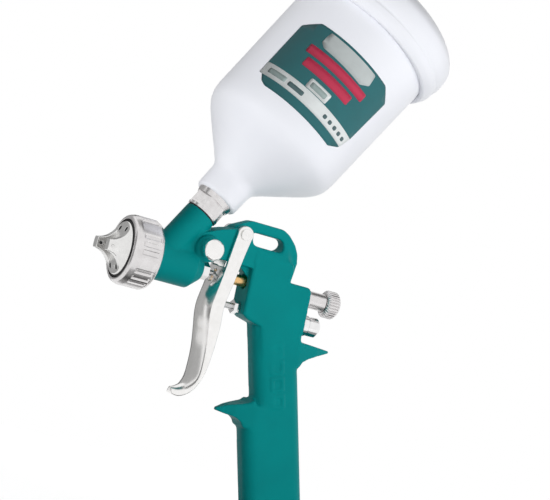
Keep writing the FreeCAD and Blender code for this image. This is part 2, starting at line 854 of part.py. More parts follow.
trigger_blank.Base = trigger_side
trigger_blank.Tool = trigger_front
doc.recompute()
eye = rod("TriggerEye", 5, 2 * cheek_out, -S.pivot_x, cheek_out, S.pivot_z, FRONT_Y, 90)
eye_hole = rod("TriggerEyeHole", S.pin_radius + S.fit, 40, -S.pivot_x, 20, S.pivot_z, FRONT_Y, 90)
finish(cut("Trigger", fused("TriggerSolid", [trigger_blank, eye]), [channel, window, eye_hole]), "trigger")
finish(turned("PivotStud", [
    (-cheek_out - 1.4, 0),
    (-cheek_out - 1.4, 3.4),
    (-cheek_out - 0.3, 3.4),
    (-cheek_out - 0.3, S.pin_radius - 0.01),
    (cheek_out + 0.3, S.pin_radius - 0.01),
    (cheek_out + 0.3, 0),
]), "pivot_stud", -S.pivot_x, 0, S.pivot_z, Vector(0, 0, 1), 90)
finish(turned("PivotScrew", [
    (cheek_out + 0.3, 0),
    (cheek_out + 0.3, 3.4),
    (cheek_out + 1.2, 3.4),
    (cheek_out + 1.6, 2.8),
    (cheek_out + 1.6, 0),
]), "pivot_screw", -S.pivot_x, 0, S.pivot_z, Vector(0, 0, 1), 90)

# Pattern control on the left of the barrel.
fan_hex = hexagon("FanHex", 5, 2.2, 13)
fan_tube = rod("FanTube", 3.38, 9, 5.4)
fan_bore = rod("FanBore", 2.2, 40, -2)
finish(cut("FanBushing", fused("FanBushingSolid", [fan_hex, fan_tube]), [fan_bore]), "fan_bushing",
       -S.fan_x, 0, S.fan_z, Vector(0, 0, 1), -90)
finish(turned("FanKnob", [
    (6, 0),
    (6, 2.2 - S.fit),
    (15.6, 2.2 - S.fit),
    (15.6, S.fan_knob - 0.8),
    (16.2, S.fan_knob),
    (19.8, S.fan_knob),
    (20.8, S.fan_knob - 1),
    (20.8, 0),
]), "fan_knob", -S.fan_x, 0, S.fan_z, Vector(0, 0, 1), -90)

# Air inlet nipple and its washer under the handle.
inlet_hexagon = hexagon("InletHexagon", 8.5, S.inlet_hex - 1, S.grip_end + 1)
inlet_tube = rod("InletTube", S.inlet_radius, S.inlet_thread, S.grip_end + S.inlet_hex)
inlet_shank = rod("InletShank", 6 - 0.02, 12, S.grip_end - 11)
inlet_hole = rod("InletHole", S.inlet_bore, 60, S.grip_end - 20)
finish(cut("AirInlet", fused("AirInletSolid", [inlet_hexagon, inlet_tube, inlet_shank]), [inlet_hole]),
       "air_inlet", INLET_X, 0, INLET_Z, Vector(0, 1, 0), 90 - S.sweep)
finish(turned("InletWasher", [
    (S.grip_end, 6.02),
    (S.grip_end, 8.6),
    (S.grip_end + 1, 8.6),
    (S.grip_end + 1, 6.02),
]), "inlet_washer", INLET_X, 0, INLET_Z, Vector(0, 1, 0), 90 - S.sweep)


def on_cup(thing, label):
    return finish(thing, label, -S.cup_cross, 0, 0, Vector(0, 1, 0), cup_angle)


# Cup: threaded adapter, washer, plastic cup, filter, lid, gasket and vent plug.
adapter_hex = hexagon("AdapterHex", 9.6, S.adapter_top - S.neck_top - 2.4, S.neck_top + 1.2)
adapter_flange = turned("AdapterFlange", [
    (S.neck_top + 0.6, 0),
    (S.neck_top + 0.6, 10.2),
    (S.neck_top + 2.2, 10.6),
    (S.neck_top + 3.4, 10.2),
    (S.neck_top + 3.4, 0),
])
adapter_low = rod("AdapterLow", 6.38, 11, S.neck_top - 10)
adapter_high = turned("AdapterHigh", [
    (S.adapter_top - 3.2, 0),
    (S.adapter_top - 3.2, 11),
    (S.adapter_top, 12),
    (S.adapter_top, 8.9),
    (S.adapter_top + 12, 8.9),
    (S.adapter_top + 12, 0),
])
adapter_bore = rod("AdapterBore", S.adapter_bore, 60, S.neck_top - 20)
on_cup(cut("CupAdapter", fused("CupAdapterSolid", [adapter_hex, adapter_flange, adapter_low, adapter_high]),
           [adapter_bore]), "cup_adapter")
on_cup(turned("AdapterWasher", [
    (S.neck_top, 6.45),
    (S.neck_top, 9.6),
    (S.neck_top + 0.6, 9.6),
    (S.neck_top + 0.6, 6.45),
]), "adapter_washer")
cup = turned("Cup", [
    (S.adapter_top, 8.95),
    (S.adapter_top, S.cup_neck_radius - 0.8),
    (S.adapter_top + 1, S.cup_neck_radius),
    (S.cup_neck_top, S.cup_neck_radius + 0.6),
    (S.cone_top, S.cup_radius - 3),
    (S.cone_top + 8, S.cup_radius - 0.6),
    (S.cup_mouth, S.cup_radius + 0.8),
    (S.cup_mouth, S.cup_radius + 0.8 - S.cup_wall),
    (S.cone_top + 8, S.cup_radius - 0.6 - S.cup_wall),
    (S.cone_top + 0.6, S.cup_radius - 3 - S.cup_wall),
    (S.cup_neck_top + 0.8, S.cup_neck_radius - 2),
    (S.adapter_top + 14, 8.95),
])
on_cup(cup, "cup")
on_cup(turned("PaintFilter", [
    (S.adapter_top + 12.2, 2.6),
    (S.adapter_top + 12.2, 8.4),
    (S.adapter_top + 13.4, 8.4),
    (S.adapter_top + 13.4, 4.6),
    (S.adapter_top + 34, 4),
    (S.adapter_top + 34, 0),
    (S.adapter_top + 32.8, 0),
    (S.adapter_top + 32.8, 3.2),
    (S.adapter_top + 13.4, 3.8),
    (S.adapter_top + 13.4, 2.6),
]), "paint_filter")
mouth = S.cup_radius + 0.8
bore = mouth - S.cup_wall
lid_low = S.cup_mouth - S.lid_skirt
lid_radius = mouth + S.lid_flare
vent_seat = S.cup_mouth + S.lid_rise
gasket = 0.8
on_cup(turned("Lid", [
    (lid_low, mouth + S.lid_play),
    (lid_low, lid_radius - 3.8),
    (lid_low + 3.5, lid_radius - 1.6),
    (lid_low + 7.5, lid_radius - 0.8),
    (lid_low + 11.5, lid_radius),
    (S.cup_mouth + 1, lid_radius),
    (S.cup_mouth + 6, lid_radius - 1.2),
    (S.cup_mouth + 11.5, lid_radius - 6.4),
    (S.cup_mouth + 16, lid_radius - 15.6),
    (S.cup_mouth + 19, lid_radius - 28),
    (vent_seat - 0.2, 14),
    (vent_seat, 7),
    (vent_seat, 3.6),
    (vent_seat - 2.2, 3.6),
    (vent_seat - 2.4, 14),
    (S.cup_mouth + 16.9, lid_radius - 30),
    (S.cup_mouth + 13.4, lid_radius - 19),
    (S.cup_mouth + 9.5, bore - 3),
    (S.cup_mouth - 5, bore - 2.6),
    (S.cup_mouth - 5, bore - 0.5),
    (S.cup_mouth + gasket, bore - 0.5),
    (S.cup_mouth + gasket, mouth + S.lid_play),
]), "lid")
on_cup(turned("LidGasket", [
    (S.cup_mouth, bore),
    (S.cup_mouth, mouth),
    (S.cup_mouth + gasket, mouth),
    (S.cup_mouth + gasket, bore),
]), "lid_gasket")
on_cup(turned("VentPlug", [
    (vent_seat - 6, 1),
    (vent_seat - 6, 3.4),
    (vent_seat + 0.15, 3.4),
    (vent_seat + 0.15, 6),
    (vent_seat + 3.6, 5.6),
    (vent_seat + 3.6, 1),
]), "vent_plug")

doc.recompute()
os.makedirs("parts", exist_ok=True)
faults = [thing.Label for thing in doc.Objects if {"Invalid", "Error"} & set(thing.State)]
for thing in SUB_PARTS:
    if thing.Shape.isNull() or not thing.Shape.isValid() or thing.Shape.Volume < 1e-3:
        faults.append(thing.Label)
if faults:
    raise SystemExit("parts that did not build: " + ", ".join(faults))
for thing in SUB_PARTS:
    thing.Shape.exportStep(f"parts/{thing.Label}.step")
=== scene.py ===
"""A gravity-feed HVLP spray gun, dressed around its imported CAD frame.

Lengths inside the modelling helpers are millimetres in the gun's own axes: x to
the rear along the needle, y to the gun's right, z up, from the point where the
needle axis passes the trigger. They become metres in the row frame on the way out.
"""
import json
import math

import bpy
import bmesh
from mathutils import Matrix, Vector

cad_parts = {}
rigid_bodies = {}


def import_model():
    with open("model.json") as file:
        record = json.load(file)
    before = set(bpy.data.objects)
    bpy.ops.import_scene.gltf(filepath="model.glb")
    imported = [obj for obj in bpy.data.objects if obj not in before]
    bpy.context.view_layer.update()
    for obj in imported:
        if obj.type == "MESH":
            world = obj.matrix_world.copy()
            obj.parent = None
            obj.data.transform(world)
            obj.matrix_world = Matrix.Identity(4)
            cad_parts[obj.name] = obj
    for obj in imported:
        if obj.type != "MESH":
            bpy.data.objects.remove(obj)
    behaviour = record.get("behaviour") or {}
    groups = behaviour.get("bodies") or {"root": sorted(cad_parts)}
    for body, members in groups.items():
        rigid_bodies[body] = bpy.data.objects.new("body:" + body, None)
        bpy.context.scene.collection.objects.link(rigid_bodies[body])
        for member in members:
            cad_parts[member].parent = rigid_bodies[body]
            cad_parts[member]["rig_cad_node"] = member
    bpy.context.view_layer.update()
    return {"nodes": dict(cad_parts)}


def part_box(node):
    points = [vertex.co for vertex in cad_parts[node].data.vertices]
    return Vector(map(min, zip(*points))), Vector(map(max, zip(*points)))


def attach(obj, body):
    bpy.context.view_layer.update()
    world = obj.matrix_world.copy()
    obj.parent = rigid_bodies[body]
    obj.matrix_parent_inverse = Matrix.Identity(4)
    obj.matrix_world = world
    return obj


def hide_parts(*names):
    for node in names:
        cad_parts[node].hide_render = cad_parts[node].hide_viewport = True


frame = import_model()
NODES = frame["nodes"]
MM = 0.001
LEAN = math.radians(60)
SWEEP = math.radians(18.4)
NEEDLE_AHEAD = 88.1

needle_low, needle_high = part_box("fluid_needle")
HOME = Vector((
    needle_low.x + NEEDLE_AHEAD * MM,
    (needle_low.y + needle_high.y) / 2,
    (needle_low.z + needle_high.z) / 2,
))


def gun(x, y, z):
    """A point of the gun's axes, in metres in the row frame."""
    return HOME + Vector((x, y, z)) * MM


# ---------------------------------------------------------------- axes of parts

def axis_frame(origin, along, side):
    """Takes local (along, side, third) in mm to the row frame in metres."""
    along = Vector(along).normalized()
    side = Vector(side)
    side = (side - along * side.dot(along)).normalized()
    third = along.cross(side)
    turn = Matrix((along, side, third)).transposed().to_4x4()
    return Matrix.Translation(gun(*origin)) @ turn @ Matrix.Scale(MM, 4)


BARREL = axis_frame((0, 0, 0), (1, 0, 0), (0, -1, 0))
CUP = axis_frame((-59.6, 0, 0), (math.cos(LEAN), 0, math.sin(LEAN)), (0, -1, 0))
FAN = axis_frame((-35.6, 0, 13), (0, -1, 0), (0, 0, 1))
PIVOT = axis_frame((-14.5, 0, 26.9), (0, -1, 0), (0, 0, 1))


# ---------------------------------------------------------------- mesh helpers

def clamped(value):
    """The value, held between 0 and 1."""
    return min(1.0, max(0.0, value))


def add_object(name, mesh, smooth=True):
    piece = bpy.data.objects.new(name, mesh)
    bpy.context.scene.collection.objects.link(piece)
    if smooth:
        mesh.polygons.foreach_set("use_smooth", [True] * len(mesh.polygons))
    return piece


def from_points(name, points, faces, place=None):
    mesh = bpy.data.meshes.new(name)
    mesh.from_pydata([tuple(p) for p in points], [], faces)
    if place is not None:
        mesh.transform(place)
    mesh.update()
    fix = bmesh.new()
    fix.from_mesh(mesh)
    bmesh.ops.remove_doubles(fix, verts=fix.verts, dist=1e-7)
    bmesh.ops.recalc_face_normals(fix, faces=fix.faces)
    fix.to_mesh(mesh)
    fix.free()
    return add_object(name, mesh)


def eased(points, radius=0.4, steps=3, closed=True):
    """Rounds the corners of a flat outline."""
    points = [Vector(p) for p in points]
    out = []
    for i, corner in enumerate(points):
        if not closed and i in (0, len(points) - 1):
            out.append(corner)
            continue
        before = points[i - 1] - corner
        after = points[(i + 1) % len(points)] - corner
        cut = min(radius, 0.45 * before.length, 0.45 * after.length)
        if cut < 1e-4 or before.angle(after) > math.radians(172):
            out.append(corner)
            continue
        start = corner + before.normalized() * cut
        end = corner + after.normalized() * cut
        for k in range(steps + 1):
            t = k / steps
            out.append(start * (1 - t) ** 2 + corner * 2 * t * (1 - t) + end * t * t)
    return out


def smooth_line(points, count):
    """Count points spaced evenly along a Catmull-Rom line."""
    points = [Vector(p) for p in points]
    dense = []
    for i in range(len(points) - 1):
        a = points[max(i - 1, 0)]
        b, c = points[i], points[i + 1]
        d = points[min(i + 2, len(points) - 1)]
        for k in range(16):
            t = k / 16
            dense.append(0.5 * (
                b * 2 + (c - a) * t + (a * 2 - b * 5 + c * 4 - d) * t * t
                + (b * 3 - a - c * 3 + d) * t ** 3
            ))
    dense.append(points[-1])
    lengths = [0.0]
    for p, q in zip(dense, dense[1:]):
        lengths.append(lengths[-1] + (q - p).length)
    out = []
    j = 0
    for k in range(count):
        want = lengths[-1] * k / (count - 1)
        while j < len(lengths) - 2 and lengths[j + 1] < want:
            j += 1
        span = lengths[j + 1] - lengths[j] or 1
        t = min(max((want - lengths[j]) / span, 0), 1)
        out.append(dense[j].lerp(dense[j + 1], t))
    return out


def spun(name, place, rows, count=96, shape=None, closed=True):
    """Turns (along, radius) rows about an axis. shape(x, r, angle) may alter r."""
    points, faces = [], []
    for x, r in rows:
        for k in range(count):
            angle = 2 * math.pi * k / count
            reach = shape(x, r, angle) if shape else r
            points.append((x, reach * math.cos(angle), reach * math.sin(angle)))
    spans = len(rows) if closed else len(rows) - 1
    for i in range(spans):
        j = (i + 1) % len(rows)
        if rows[i][1] < 1e-6 and rows[j][1] < 1e-6:
            continue
        for k in range(count):
            n = (k + 1) % count
            faces.append((i * count + k, i * count + n, j * count + n, j * count + k))
    return from_points(name, points, faces, place)


def finely(stretches, step, least):
    """Points along an outline, close together where it lies beyond the radius least."""
    points = []
    for (x0, r0), (x1, r1) in stretches:
        steps = max(1, int(abs(x1 - x0) / step)) if min(r0, r1) > least else 1
        points += [(x0 + (x1 - x0) * k / steps, r0 + (r1 - r0) * k / steps) for k in range(steps)]
    return points


def loft(name, loops):
    """Skins a row of closed loops and caps both ends."""
    count = len(loops[0])
    points = [p for loop in loops for p in loop]
    faces = []
    for i in range(len(loops) - 1):
        for k in range(count):
            n = (k + 1) % count
            faces.append((i * count + k, i * count + n, (i + 1) * count + n, (i + 1) * count + k))
    faces.append(tuple(range(count)))
    last = (len(loops) - 1) * count
    faces.append(tuple(range(last + count - 1, last - 1, -1)))
    return from_points(name, points, faces)


def applied(piece):
    """Bakes a piece's modifiers into its mesh."""
    bpy.context.view_layer.update()
    graph = bpy.context.evaluated_depsgraph_get()
    mesh = bpy.data.meshes.new_from_object(piece.evaluated_get(graph))
    old = piece.data
    piece.modifiers.clear()
    piece.data = mesh
    bpy.data.meshes.remove(old)
    mesh.polygons.foreach_set("use_smooth", [True] * len(mesh.polygons))
    return piece


def joined(name, pieces):
    """One object holding all the pieces' faces."""
    mesh = bpy.data.meshes.new(name)
    work = bmesh.new()
    for piece in pieces:
        work.from_mesh(piece.data)
    work.to_mesh(mesh)
    work.free()
    for piece in pieces:
        if "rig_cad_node" not in piece:
            bpy.data.objects.remove(piece)
    return add_object(name, mesh)


def remeshed(piece, voxel, rounds):
    """Fuses overlapping solids and softens every edge, as in a casting."""
    grid = piece.modifiers.new("Fuse", "REMESH")
    grid.mode = "VOXEL"
    grid.voxel_size = voxel * MM * 1
    soften = piece.modifiers.new("Soften", "SMOOTH")
    soften.factor = 0.5
    soften.iterations = rounds
    return applied(piece)


def lightened(piece, share):
    """Drops the faces that flat stretches don't need."""
    thin = piece.modifiers.new("Lighten", "DECIMATE")
    thin.ratio = share
    return applied(piece)


def without(piece, tool):
    """Cuts a closed tool out of a piece."""
    cut = piece.modifiers.new("Cut", "BOOLEAN")
    cut.object = tool
    cut.operation = "DIFFERENCE"
    cut.solver = "EXACT"
    applied(piece)
    bpy.data.objects.remove(tool)
    return piece


def copy_of(node, name):
    mesh = NODES[node].data.copy()
    mesh.materials.clear()
    return add_object(name, mesh)


def dress(piece, material, slot, body, *nodes):
    """Gives a piece its material and body, and hides the CAD nodes it stands for. The slot is not
    used.
    """
    piece.data.materials.clear()
    piece.data.materials.append(material)
    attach(piece, body)
    if nodes:
        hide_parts(*nodes)
    return piece


# ---------------------------------------------------------------- materials

class Shader:
    """A small builder for node materials."""

    def __init__(self, name):
        self.material = bpy.data.materials.new(name)
        self.material.use_nodes = True
        self.nodes = self.material.node_tree.nodes
        self.links = self.material.node_tree.links
        self.main = self.nodes["Principled BSDF"]

    def add(self, kind, **settings):
        node = self.nodes.new(kind)
        for key, value in settings.items():
            setattr(node, key, value)
        return node

    def link(self, a, out, b, into):
        self.links.new(a.outputs[out], b.inputs[into])

    def set(self, **values):
        for key, value in values.items():
            self.main.inputs[key.replace("_", " ")].default_value = value
        return self

    def noise(self, scale, detail=3.0, roughness=0.55, stretch=(1, 1, 1)):
        where = self.add("ShaderNodeTexCoord")
        warp = self.add("ShaderNodeMapping")
        warp.inputs["Scale"].default_value = stretch
        self.link(where, "Object", warp, "Vector")
        grain = self.add("ShaderNodeTexNoise")
        grain.inputs["Scale"].default_value = scale
        grain.inputs["Detail"].default_value = detail
        grain.inputs["Roughness"].default_value = roughness
        self.link(warp, "Vector", grain, "Vector")
        return grain

    def tint(self, source, low, high):
        """Colours the surface from low to high by a noise texture."""
        band = self.add("ShaderNodeValToRGB")
        for element, spot, colour in zip(band.color_ramp.elements, (0.3, 0.7), (low, high)):
            element.position = spot
            element.color = colour
        self.link(source, "Fac", band, "Fac")
        self.link(band, "Color", self.main, "Base Color")

    def bump(self, source, out, strength, distance):
        push = self.add("ShaderNodeBump")
        push.inputs["Strength"].default_value = strength
        push.inputs["Distance"].default_value = distance
        self.link(source, out, push, "Height")
        self.link(push, "Normal", self.main, "Normal")

    def spread(self, source, out, low, high, socket):
        span = self.add("ShaderNodeMapRange")
        span.inputs["To Min"].default_value = low
        span.inputs["To Max"].default_value = high
        self.link(source, out, span, "Value")
        self.link(span, "Result", self.main, socket)


def rgb(r, g, b):
    return (r, g, b, 1.0)


def paint(name, low, high, roughness):
    s = Shader(name).set(Specular_IOR_Level=0.09)
    cloud = s.noise(40, 2)
    s.tint(cloud, low, high)
    peel = s.noise(900, 2, 0.5)
    s.bump(peel, "Fac", 0.08, 0.0003)
    s.spread(cloud, "Fac", roughness - 0.05, roughness + 0.07, "Roughness")
    return s.material


def metal(name, low, high, roughness, spread=0.06, scale=260, stretch=(1, 1, 1), bump=0.04):
    s = Shader(name).set(Metallic=1.0)
    grain = s.noise(scale, 4, 0.6, stretch)
    s.tint(grain, low, high)
    s.spread(grain, "Fac", roughness - spread, roughness + spread, "Roughness")
    s.bump(grain, "Fac", bump, 0.0002)
    return s.material


def plastic(name, low, high, roughness, sheen=0.0, scale=30, bump=0.03):
    s = Shader(name).set(Sheen_Weight=sheen, Sheen_Roughness=0.4)
    cloud = s.noise(scale, 3)
    s.tint(cloud, low, high)
    s.spread(cloud, "Fac", roughness - 0.05, roughness + 0.05, "Roughness")
    fine = s.noise(500, 2)
    s.bump(fine, "Fac", bump, 0.0002)
    return s.material


def print_ink(name, colour):
    """Printed film: the colour with a faint mottle either side of it."""
    low = rgb(*[channel * 0.94 for channel in colour])
    high = rgb(*[min(1.0, channel * 1.04) for channel in colour])
    return plastic(name, low, high, 0.42, scale=120, bump=0.02)


TEAL = paint("teal_cast_paint", rgb(0.0, 0.275, 0.278), rgb(0.0, 0.302, 0.304), 0.42)
NICKEL = metal("satin_nickel", rgb(0.68, 0.66, 0.66), rgb(0.78, 0.765, 0.765), 0.25, bump=0.02)
BRIGHT = metal("bright_nickel", rgb(0.74, 0.735, 0.725), rgb(0.82, 0.815, 0.805), 0.26)
CHROME = metal("bright_chrome", rgb(0.80, 0.80, 0.80), rgb(0.88, 0.88, 0.88), 0.11, 0.03)
POLISHED = metal("polished_trigger", rgb(0.86, 0.85, 0.835), rgb(0.93, 0.92, 0.91), 0.2, 0.04, 180,
                 bump=0.015)
STEEL = metal("turned_steel", rgb(0.55, 0.55, 0.55), rgb(0.64, 0.64, 0.64), 0.28, 0.06, 900,
              (6, 1, 1))
BRASS = metal("turned_brass", rgb(0.78, 0.46, 0.18), rgb(0.88, 0.58, 0.28), 0.26, 0.05, 900,
              (6, 1, 1))
MILKY = plastic("milky_cup_plastic", rgb(0.845, 0.86, 0.915), rgb(0.875, 0.89, 0.94), 0.4, 0.25)
WHITE = plastic("white_nylon", rgb(0.78, 0.78, 0.76), rgb(0.84, 0.84, 0.82), 0.45)
SEAL = plastic("black_seal", rgb(0.012, 0.012, 0.013), rgb(0.022, 0.022, 0.024), 0.6, bump=0.1)


# ---------------------------------------------------------------- gun body

def handle_point(along, forward, y):
    """A point of the handle: down its swept axis, then forward across it."""
    x = 15.9 + along * math.sin(SWEEP) - forward * math.cos(SWEEP)
    z = -along * math.cos(SWEEP) - forward * math.sin(SWEEP)
    return gun(x, y, z)


def pad_prism(name, along, forward, long, wide, low, high):
    """A block on the handle's side with softened corners, from low to high across the gun."""
    corners = eased([
        (along - long / 2, forward - wide / 2),
        (along + long / 2, forward - wide / 2),
        (along + long / 2, forward + wide / 2),
        (along - long / 2, forward + wide / 2),
    ], 1.4, 4)
    return loft(name, [[handle_point(a, f, y) for a, f in corners] for y in (low, high)])


def raised_frame(side, along):
    """One of the low cast frames down the handle's side."""
    face, proud, sunk = 9.6, 0.75, 1.2
    low, high = sorted((side * (face - sunk), side * (face + proud)))
    outer = pad_prism("frame", along, 1.3, 8.8, 8.6, low, high)
    inner = pad_prism("frame_inside", along, 1.3, 5.4, 5.2, low - 1, high + 1)
    return without(outer, inner)


def slot_tool(reach):
    """The hanging slot's outline as a cutter."""
    start, end, middle, half = -3.8, 11.5, 26.1, 3.9
    corners = []
    for centre, turn in ((end, -90), (start, 90)):
        for k in range(17):
            a = math.radians(turn + 180 * k / 16)
            corners.append((centre + half * math.cos(a), middle + half * math.sin(a)))
    return loft("slot_tool", [[gun(x, y, z) for x, z in corners] for y in (-reach, reach)])


def cove():
    """Sweeps the block's sides up into the thinner hook plate."""
    plate_half, foot = 4.4, 11
    rise = [
        (9.62, 12.0), (9.6, 15.6), (9.4, 18.4), (8.5, 20.6), (7.2, 22.6), (5.9, 24.8), (4.6, 27.8),
    ]
    loops = []
    for x, share in ((-2.9, 1.0), (6, 1.0), (14, 1.0), (18.5, 0.92), (21.6, 0.66), (23.6, 0.3)):
        lift = 0.3 + 0.7 * share
        side = [(plate_half + (y - plate_half) * share, foot + (z - foot) * lift) for y, z in rise]
        section = [(-y, z) for y, z in side] + [(y, z) for y, z in reversed(side)]
        loops.append([gun(x, y, z) for y, z in section])
    return without(loft("cove", loops), slot_tool(20))


def soften_region(piece, test, rounds):
    """Relaxes only the points that test picks, to round a heavy edge."""
    group = piece.vertex_groups.new(name="soft")
    for point in piece.data.vertices:
        weight = test((point.co - HOME) / MM)
        if weight > 0:
            group.add([point.index], weight, "REPLACE")
    relax = piece.modifiers.new("Relax", "SMOOTH")
    relax.factor = 0.5
    relax.iterations = rounds
    relax.vertex_group = "soft"
    applied(piece)
    piece.vertex_groups.clear()
    return piece


def hook_weight(point):
    """One on the hook plate's rim, fading out toward the block and the pivot."""
    if not -10 < point.x < 30:
        return 0.0
    return clamped((point.z - 17) / 4) * clamped((point.x + 10) / 5)


def joint_weight(point):
    """One where the fins and the block's foot meet the handle's rounded front and back."""
    front = 1 - abs(point.x - 26) / 10 if -94 < point.z < -60 else 0
    rear = 1 - abs(point.x - 41) / 7 if -46 < point.z < -22 else 0
    foot = 1 - abs(point.z + 34) / 17 if 12 < point.x < 31 else 0
    return min(1.0, 2 * max(front, rear, foot, 0))


def body_casting():
    """The CAD body with its cove and frames, fused and eased as one casting."""
    pieces = [NODES["gun_body"], cove()]
    pieces += [raised_frame(side, along) for side in (-1, 1) for along in (36.0, 46.6, 57.0, 67.6)]
    casting = joined("gun_casting", pieces)
    remeshed(casting, 0.55, 4)
    soften_region(casting, hook_weight, 22)
    soften_region(casting, joint_weight, 60)
    lightened(casting, 0.42)
    return dress(casting, TEAL, "teal_paint", "gun", "gun_body")


body_casting()

# ---------------------------------------------------------------- trigger

FRONT_EDGE = [
    (-19.5, 26.9), (-21.8, 5.9), (-24.5, -9.1), (-25.7, -18.1), (-25.3, -25.1), (-23.5, -34.1),
    (-21.5, -45.1), (-20.7, -56.1), (-21.4, -63.1), (-24.5, -68.9), (-28.5, -71.9), (-31.5, -72.9),
]
REAR_EDGE = [
    (-9.5, 26.9), (-11.5, 14.9), (-13.7, -1.6), (-15.9, -17.1), (-15.0, -30.1), (-15.3, -45.1),
    (-16.4, -57.1), (-18.7, -66.1), (-22.3, -72.5), (-27.1, -75.6), (-31.1, -75.1),
]


def half_width(t):
    """The trigger's half width, which narrows in the last fifth."""
    fade = max(0.0, (t - 0.76) / 0.24)
    return 11.8 - 7.6 * fade ** 1.9


def trigger_sections(inset, top, stop, shrink):
    """Rounded sections across the trigger between two shares of its length.

    With shrink they are the hollow's: narrower, open at the rear and without the face's swell.
    """
    count, corner_steps, face_steps = 90, 6, 8
    swell, edge_set = (0.0, 0.0) if shrink else (4.2, 2.4)
    loops = []
    edges = zip(smooth_line(FRONT_EDGE, count), smooth_line(REAR_EDGE, count))
    for i, (front, rear) in enumerate(edges):
        t = i / (count - 1)
        if t < top or t > stop:
            continue
        depth = rear - front
        inward = depth.normalized()
        half = half_width(t) - shrink
        start = front + inward * inset
        span = (rear + inward * (6 if shrink else 0) - start).length
        front_round = 2.5 if shrink else 0.7 + 1.1 * clamped((t - 0.5) / 0.3)
        front_round = min(front_round, depth.length * 0.45, half * 0.7)
        rear_round = 0.5 if t < 0.7 else 0.5 + 1.4 * (t - 0.7) / 0.3
        section = []
        for y, u, corner in (
            (-half, span, rear_round), (-half, 0, front_round),
            (half, 0, front_round), (half, span, rear_round),
        ):
            if y > 0 and u == 0:
                section += [((half - front_round) * (k / face_steps - 1), 0)
                            for k in range(1, 2 * face_steps)]
            sy = -1 if y < 0 else 1
            su = 1 if u == 0 else -1
            order = range(corner_steps + 1)
            for k in order if (sy < 0) == (u == 0) else reversed(order):
                a = math.pi / 2 * k / corner_steps
                across = y - sy * corner * (1 - math.cos(a))
                section.append((across, u + su * corner * (1 - math.sin(a))))
        grown = clamped((t - 0.16) / 0.22)
        loop = []
        for y, u in section:
            proud = (swell * (1 - (y / half) ** 2) - edge_set) * (grown * max(0.0, 1 - u / span))
            spot = start + inward * (u - proud)
            loop.append(gun(spot.x, y, spot.y))
        loops.append(loop)
    return loops


def trigger_piece():
    """The pressed blade, hollow behind, with its gap for the bridge, window and eye."""
    outer = loft("trigger_outer", trigger_sections(0, 0, 1, 0))
    inner = loft("trigger_inner", trigger_sections(2.5, 0.17, 0.80, 2.5))
    without(outer, inner)
    top = from_points("trigger_gap", *box_points((-36, -9.3, 5.4), (4, 9.3, 40)))
    without(outer, top)
    window = from_points("trigger_window", *box_points((-34, -2.4, -5.0), (-4, 2.4, 3.3)))
    without(outer, window)
    eye = spun("trigger_eye", PIVOT, [(-11.8, 2.25), (-11.8, 5.1), (11.8, 5.1), (11.8, 2.25)], 64)
    gap = spun("eye_gap", PIVOT, [(-9.2, 0), (-9.2, 12), (9.2, 12), (9.2, 0)], 48)
    without(eye, gap)
    whole = joined("trigger_blade", [outer, eye])
    remeshed(whole, 0.32, 7)
    return dress(whole, POLISHED, "polished_trigger", "trigger", "trigger")


def box_points(low, high):
    """Points and faces of a block given in gun millimetres."""
    xs, ys, zs = zip(low, high)
    points = [gun(x, y, z) for x in xs for y in ys for z in zs]
    faces = [(0, 1, 3, 2), (4, 6, 7, 5), (0, 4, 5, 1), (2, 3, 7, 6), (0, 2, 6, 4), (1, 5, 7, 3)]
    return points, faces


trigger_piece()

# ---------------------------------------------------------------- hardware


def small_parts():
    stud = spun("pivot_stud_head", PIVOT, eased([
        (-12.1, 0), (-12.1, 2.15), (12.1, 2.15), (12.1, 3.4), (13.2, 3.4), (13.2, 2.9), (13.2, 0),
    ], 0.35), 64)
    dress(stud, POLISHED, "satin_nickel", "gun", "pivot_stud")
    knob = spun("pattern_knob", FAN, eased([
        (6, 0), (6, 2.15), (15.6, 2.15), (15.6, 5.6), (16.2, 6.3), (19.8, 6.3), (20.8, 5.3),
        (20.8, 0),
    ], 0.6), 96)
    dress(knob, POLISHED, "satin_nickel", "fan_control", "fan_knob")


small_parts()


def knurl(x, r, angle):
    """Straight grip grooves round the fluid knob's band."""
    band, grooves, deepest = 7.8, 28, 0.7
    if r < band:
        return r
    valley = max(0.0, math.cos(angle * grooves))
    return r - deepest * valley ** 2


def fluid_knob():
    rows = eased([
        (37.6, 0), (37.6, 2.5), (53.35, 2.5), (53.35, 6.3), (55.0, 8.5), (60.6, 8.5), (62.2, 6.9),
        (63.1, 4.4), (63.4, 0),
    ], 0.5)
    dense = finely(zip(rows, rows[1:]), 0.6, 6) + [tuple(rows[-1])]
    piece = spun("fluid_knob_ribbed", BARREL, dense, 336, knurl, closed=False)
    dress(piece, NICKEL, "satin_nickel", "fluid_control", "fluid_knob")


fluid_knob()


def flutes(x, r, angle):
    """Three milled pockets in each sixth of the ring, and a smooth land between."""
    side, front, rear = 19.4, -79.8, -68.6
    if r < side or not front < x < rear:
        return r
    pocket_half, run_out = 4.4, 0.8
    turn = math.degrees(angle - math.pi / 2) % 60
    depth = 0.0
    for mark in (0, 13.5, 27):
        away = abs((turn - mark + 30) % 60 - 30)
        depth = max(depth, min(1.0, 3.0 * (1 - (away / pocket_half) ** 2)))
    return r - depth * min(1.0, (x - front) / run_out, (rear - x) / run_out)


def ring():
    rows = eased([
        (-85, 17.7), (-85, 18.6), (-84, 20.1), (-81, 21), (-68.6, 21), (-67.4, 20.6), (-66, 19.8),
        (-66, 13.4), (-67.95, 13.4), (-67.95, 18.45), (-83, 18.45), (-83, 17.7),
    ], 0.7, 4)
    dense = finely(zip(rows, rows[1:] + rows[:1]), 0.5, 20)
    piece = spun("cap_ring_fluted", BARREL, dense, 480, flutes)
    dress(piece, NICKEL, "satin_nickel", "ring", "air_cap_ring")


ring()


